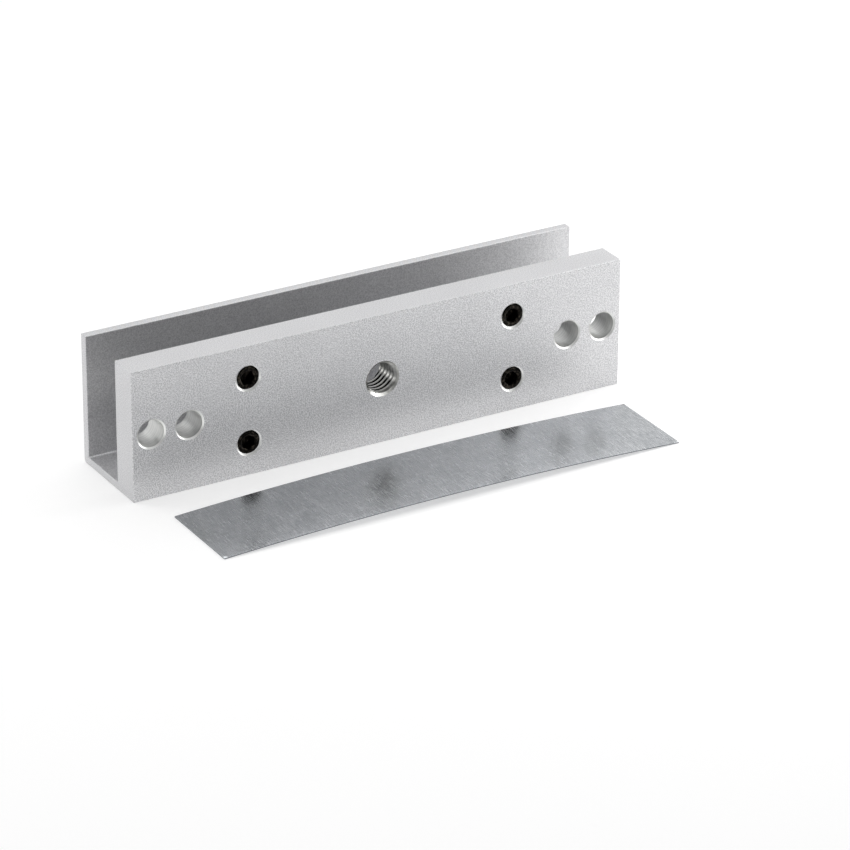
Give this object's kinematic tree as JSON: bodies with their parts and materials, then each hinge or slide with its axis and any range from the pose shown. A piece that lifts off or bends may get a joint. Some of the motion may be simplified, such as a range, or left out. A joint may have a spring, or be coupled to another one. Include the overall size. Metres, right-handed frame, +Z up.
{
  "type": "glass door bracket for a magnetic lock",
  "caption": "U-shaped aluminium channel that clamps on a glass door edge with grub screws and a thin steel strip, and carries a magnetic lock's armature plate on its thick front wall.",
  "frame": {"origin": "centre of the channel's underside", "axes": "+X along the channel to the right, -Y out of the front wall that carries the armature plate, +Z up out of the slot"},
  "size_m": [0.12, 0.0552, 0.03],
  "materials": {
    "anodised_aluminium": "blasted and clear anodised, satin",
    "black_oxide_steel": "black oxide, slightly oily",
    "galvanised_steel": "thin zinc coat, rolled"
  },
  "bodies": {
    "channel": {"u_channel": "anodised_aluminium"},
    "screw_upper_left": {"grub_screw_upper_left": "black_oxide_steel"},
    "screw_lower_left": {"grub_screw_lower_left": "black_oxide_steel"},
    "screw_upper_right": {"grub_screw_upper_right": "black_oxide_steel"},
    "screw_lower_right": {"grub_screw_lower_right": "black_oxide_steel"},
    "strip": {"pressure_strip": "galvanised_steel"}
  },
  "joints": [
    {"name": "screw_upper_left_travel", "type": "slide", "parent": "channel", "child": "screw_upper_left", "axis": [0, 1, 0], "range_m": [-0.007, 0.005]},
    {"name": "screw_lower_left_travel", "type": "slide", "parent": "channel", "child": "screw_lower_left", "axis": [0, 1, 0], "range_m": [-0.007, 0.005]},
    {"name": "screw_upper_right_travel", "type": "slide", "parent": "channel", "child": "screw_upper_right", "axis": [0, 1, 0], "range_m": [-0.007, 0.005]},
    {"name": "screw_lower_right_travel", "type": "slide", "parent": "channel", "child": "screw_lower_right", "axis": [0, 1, 0], "range_m": [-0.007, 0.005]},
    {"name": "strip_lift", "type": "slide", "parent": "channel", "child": "strip", "axis": [0, 0, 1], "range_m": [0, 0.06]}
  ]
}
